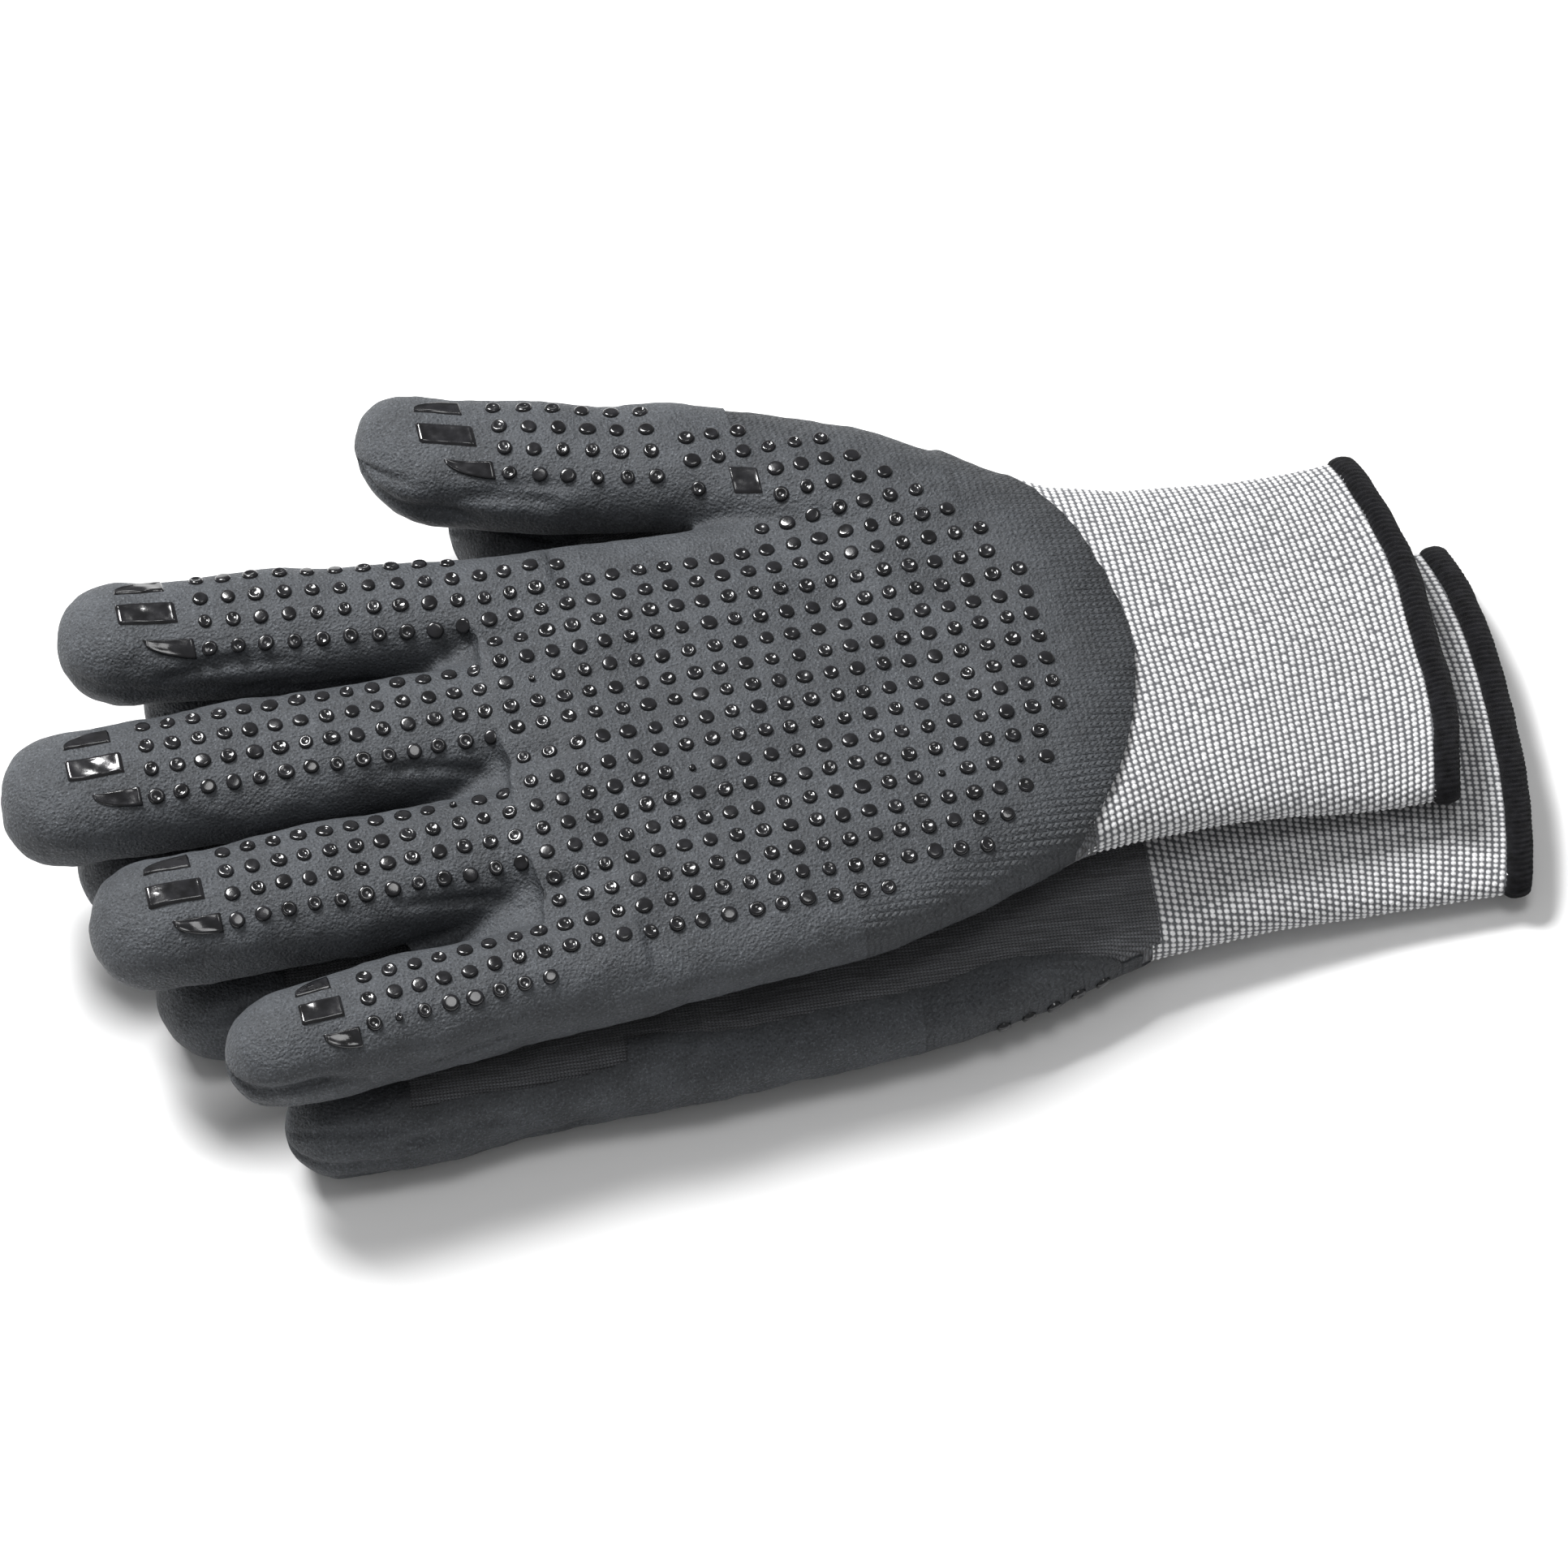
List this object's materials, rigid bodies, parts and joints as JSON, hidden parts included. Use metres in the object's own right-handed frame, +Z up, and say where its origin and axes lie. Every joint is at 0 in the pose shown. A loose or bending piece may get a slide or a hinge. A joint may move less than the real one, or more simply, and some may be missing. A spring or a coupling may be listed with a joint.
{
  "type": "work gloves",
  "caption": "Pair of foam-dipped knit work gloves with dotted palms and ribbed cuffs, lying back to back.",
  "frame": {"origin": "centre of the pair's outline on the ground it lies on", "axes": "fingers point to -X and cuffs to +X, thumbs to +Y, +Z up"},
  "size_m": [0.2662, 0.1441, 0.0375],
  "materials": {
    "coating": "matte charcoal foam nitrile with a fine pebble",
    "liner": "dark charcoal fine-gauge knit",
    "grip": "glossy black printed rubber dots and fingertip pads",
    "cuff": "light grey and white melange rib knit",
    "hem": "black fuzzy overlock thread"
  },
  "bodies": {
    "left_hand": {"left_palm_coating": "coating", "left_palm_liner": "liner", "left_palm_grip": "grip", "left_cuff": "cuff", "left_hem": "hem"},
    "right_hand": {"right_palm_coating": "coating", "right_palm_liner": "liner", "right_palm_grip": "grip", "right_cuff": "cuff", "right_hem": "hem"},
    "left_index_base": {"left_index_base_coating": "coating", "left_index_base_liner": "liner", "left_index_base_grip": "grip"},
    "left_index_tip": {"left_index_tip_coating": "coating", "left_index_tip_grip": "grip"},
    "left_middle_base": {"left_middle_base_coating": "coating", "left_middle_base_liner": "liner", "left_middle_base_grip": "grip"},
    "left_middle_tip": {"left_middle_tip_coating": "coating", "left_middle_tip_grip": "grip"},
    "left_ring_base": {"left_ring_base_coating": "coating", "left_ring_base_liner": "liner", "left_ring_base_grip": "grip"},
    "left_ring_tip": {"left_ring_tip_coating": "coating", "left_ring_tip_grip": "grip"},
    "left_little_base": {"left_little_base_coating": "coating", "left_little_base_liner": "liner", "left_little_base_grip": "grip"},
    "left_little_tip": {"left_little_tip_coating": "coating", "left_little_tip_grip": "grip"},
    "left_thumb_base": {"left_thumb_base_coating": "coating", "left_thumb_base_liner": "liner", "left_thumb_base_grip": "grip"},
    "left_thumb_tip": {"left_thumb_tip_coating": "coating", "left_thumb_tip_grip": "grip"},
    "right_index_base": {"right_index_base_coating": "coating", "right_index_base_liner": "liner", "right_index_base_grip": "grip"},
    "right_index_tip": {"right_index_tip_coating": "coating", "right_index_tip_grip": "grip"},
    "right_middle_base": {"right_middle_base_coating": "coating", "right_middle_base_liner": "liner", "right_middle_base_grip": "grip"},
    "right_middle_tip": {"right_middle_tip_coating": "coating", "right_middle_tip_grip": "grip"},
    "right_ring_base": {"right_ring_base_coating": "coating", "right_ring_base_liner": "liner", "right_ring_base_grip": "grip"},
    "right_ring_tip": {"right_ring_tip_coating": "coating", "right_ring_tip_grip": "grip"},
    "right_little_base": {"right_little_base_coating": "coating", "right_little_base_liner": "liner", "right_little_base_grip": "grip"},
    "right_little_tip": {"right_little_tip_coating": "coating", "right_little_tip_grip": "grip"},
    "right_thumb_base": {"right_thumb_base_coating": "coating", "right_thumb_base_liner": "liner", "right_thumb_base_grip": "grip"},
    "right_thumb_tip": {"right_thumb_tip_coating": "coating", "right_thumb_tip_grip": "grip"}
  },
  "joints": [
    {"name": "right_glove_lift", "type": "slide", "parent": "left_hand", "child": "right_hand", "axis": [0, 0, 1], "range_m": [0, 0.15]},
    {"name": "left_index_knuckle", "type": "hinge", "parent": "left_hand", "child": "left_index_base", "pos_m": [-0.03185, 0.0178, 0], "axis": [-0.0523, -0.9986, 0], "range_deg": [0, 80]},
    {"name": "left_index_middle", "type": "hinge", "parent": "left_index_base", "child": "left_index_tip", "pos_m": [-0.06496, 0.02372, 0], "axis": [-0.0523, -0.9986, 0], "range_deg": [0, 85]},
    {"name": "left_middle_knuckle", "type": "hinge", "parent": "left_hand", "child": "left_middle_base", "pos_m": [-0.03311, -0.00619, 0], "axis": [-0.0523, -0.9986, 0], "range_deg": [0, 80]},
    {"name": "left_middle_middle", "type": "hinge", "parent": "left_middle_base", "child": "left_middle_tip", "pos_m": [-0.07354, -0.00374, 0], "axis": [-0.0523, -0.9986, 0], "range_deg": [0, 85]},
    {"name": "left_ring_knuckle", "type": "hinge", "parent": "left_hand", "child": "left_ring_base", "pos_m": [-0.03451, -0.03286, 0], "axis": [-0.0523, -0.9986, 0], "range_deg": [0, 80]},
    {"name": "left_ring_middle", "type": "hinge", "parent": "left_ring_base", "child": "left_ring_tip", "pos_m": [-0.07019, -0.03206, 0], "axis": [-0.0523, -0.9986, 0], "range_deg": [0, 85]},
    {"name": "left_little_knuckle", "type": "hinge", "parent": "left_hand", "child": "left_little_base", "pos_m": [-0.03591, -0.05973, 0], "axis": [-0.0523, -0.9986, 0], "range_deg": [0, 80]},
    {"name": "left_little_middle", "type": "hinge", "parent": "left_little_base", "child": "left_little_tip", "pos_m": [-0.06341, -0.0609, 0], "axis": [-0.0523, -0.9986, 0], "range_deg": [0, 85]},
    {"name": "left_thumb_knuckle", "type": "hinge", "parent": "left_hand", "child": "left_thumb_base", "pos_m": [0.00924, 0.03941, 0], "axis": [-0.0523, -0.9986, 0], "range_deg": [0, 50]},
    {"name": "left_thumb_middle", "type": "hinge", "parent": "left_thumb_base", "child": "left_thumb_tip", "pos_m": [-0.01456, 0.04744, 0], "axis": [-0.0523, -0.9986, 0], "range_deg": [0, 70]},
    {"name": "right_index_knuckle", "type": "hinge", "parent": "right_hand", "child": "right_index_base", "pos_m": [-0.04499, 0.02464, 0.036], "axis": [0, 1, 0], "range_deg": [0, 80]},
    {"name": "right_index_middle", "type": "hinge", "parent": "right_index_base", "child": "right_index_tip", "pos_m": [-0.07837, 0.02881, 0.036], "axis": [0, 1, 0], "range_deg": [0, 85]},
    {"name": "right_middle_knuckle", "type": "hinge", "parent": "right_hand", "child": "right_middle_base", "pos_m": [-0.04499, 0.00061, 0.036], "axis": [0, 1, 0], "range_deg": [0, 80]},
    {"name": "right_middle_middle", "type": "hinge", "parent": "right_middle_base", "child": "right_middle_tip", "pos_m": [-0.0855, 0.00094, 0.036], "axis": [0, 1, 0], "range_deg": [0, 85]},
    {"name": "right_ring_knuckle", "type": "hinge", "parent": "right_hand", "child": "right_ring_base", "pos_m": [-0.04499, -0.0261, 0.036], "axis": [0, 1, 0], "range_deg": [0, 80]},
    {"name": "right_ring_middle", "type": "hinge", "parent": "right_ring_base", "child": "right_ring_tip", "pos_m": [-0.08067, -0.02717, 0.036], "axis": [0, 1, 0], "range_deg": [0, 85]},
    {"name": "right_little_knuckle", "type": "hinge", "parent": "right_hand", "child": "right_little_base", "pos_m": [-0.04499, -0.05301, 0.036], "axis": [0, 1, 0], "range_deg": [0, 80]},
    {"name": "right_little_middle", "type": "hinge", "parent": "right_little_base", "child": "right_little_tip", "pos_m": [-0.07239, -0.05561, 0.036], "axis": [0, 1, 0], "range_deg": [0, 85]},
    {"name": "right_thumb_knuckle", "type": "hinge", "parent": "right_hand", "child": "right_thumb_base", "pos_m": [-0.00509, 0.04837, 0.036], "axis": [0, 1, 0], "range_deg": [0, 50]},
    {"name": "right_thumb_middle", "type": "hinge", "parent": "right_thumb_base", "child": "right_thumb_tip", "pos_m": [-0.02927, 0.05514, 0.036], "axis": [0, 1, 0], "range_deg": [0, 70]}
  ]
}
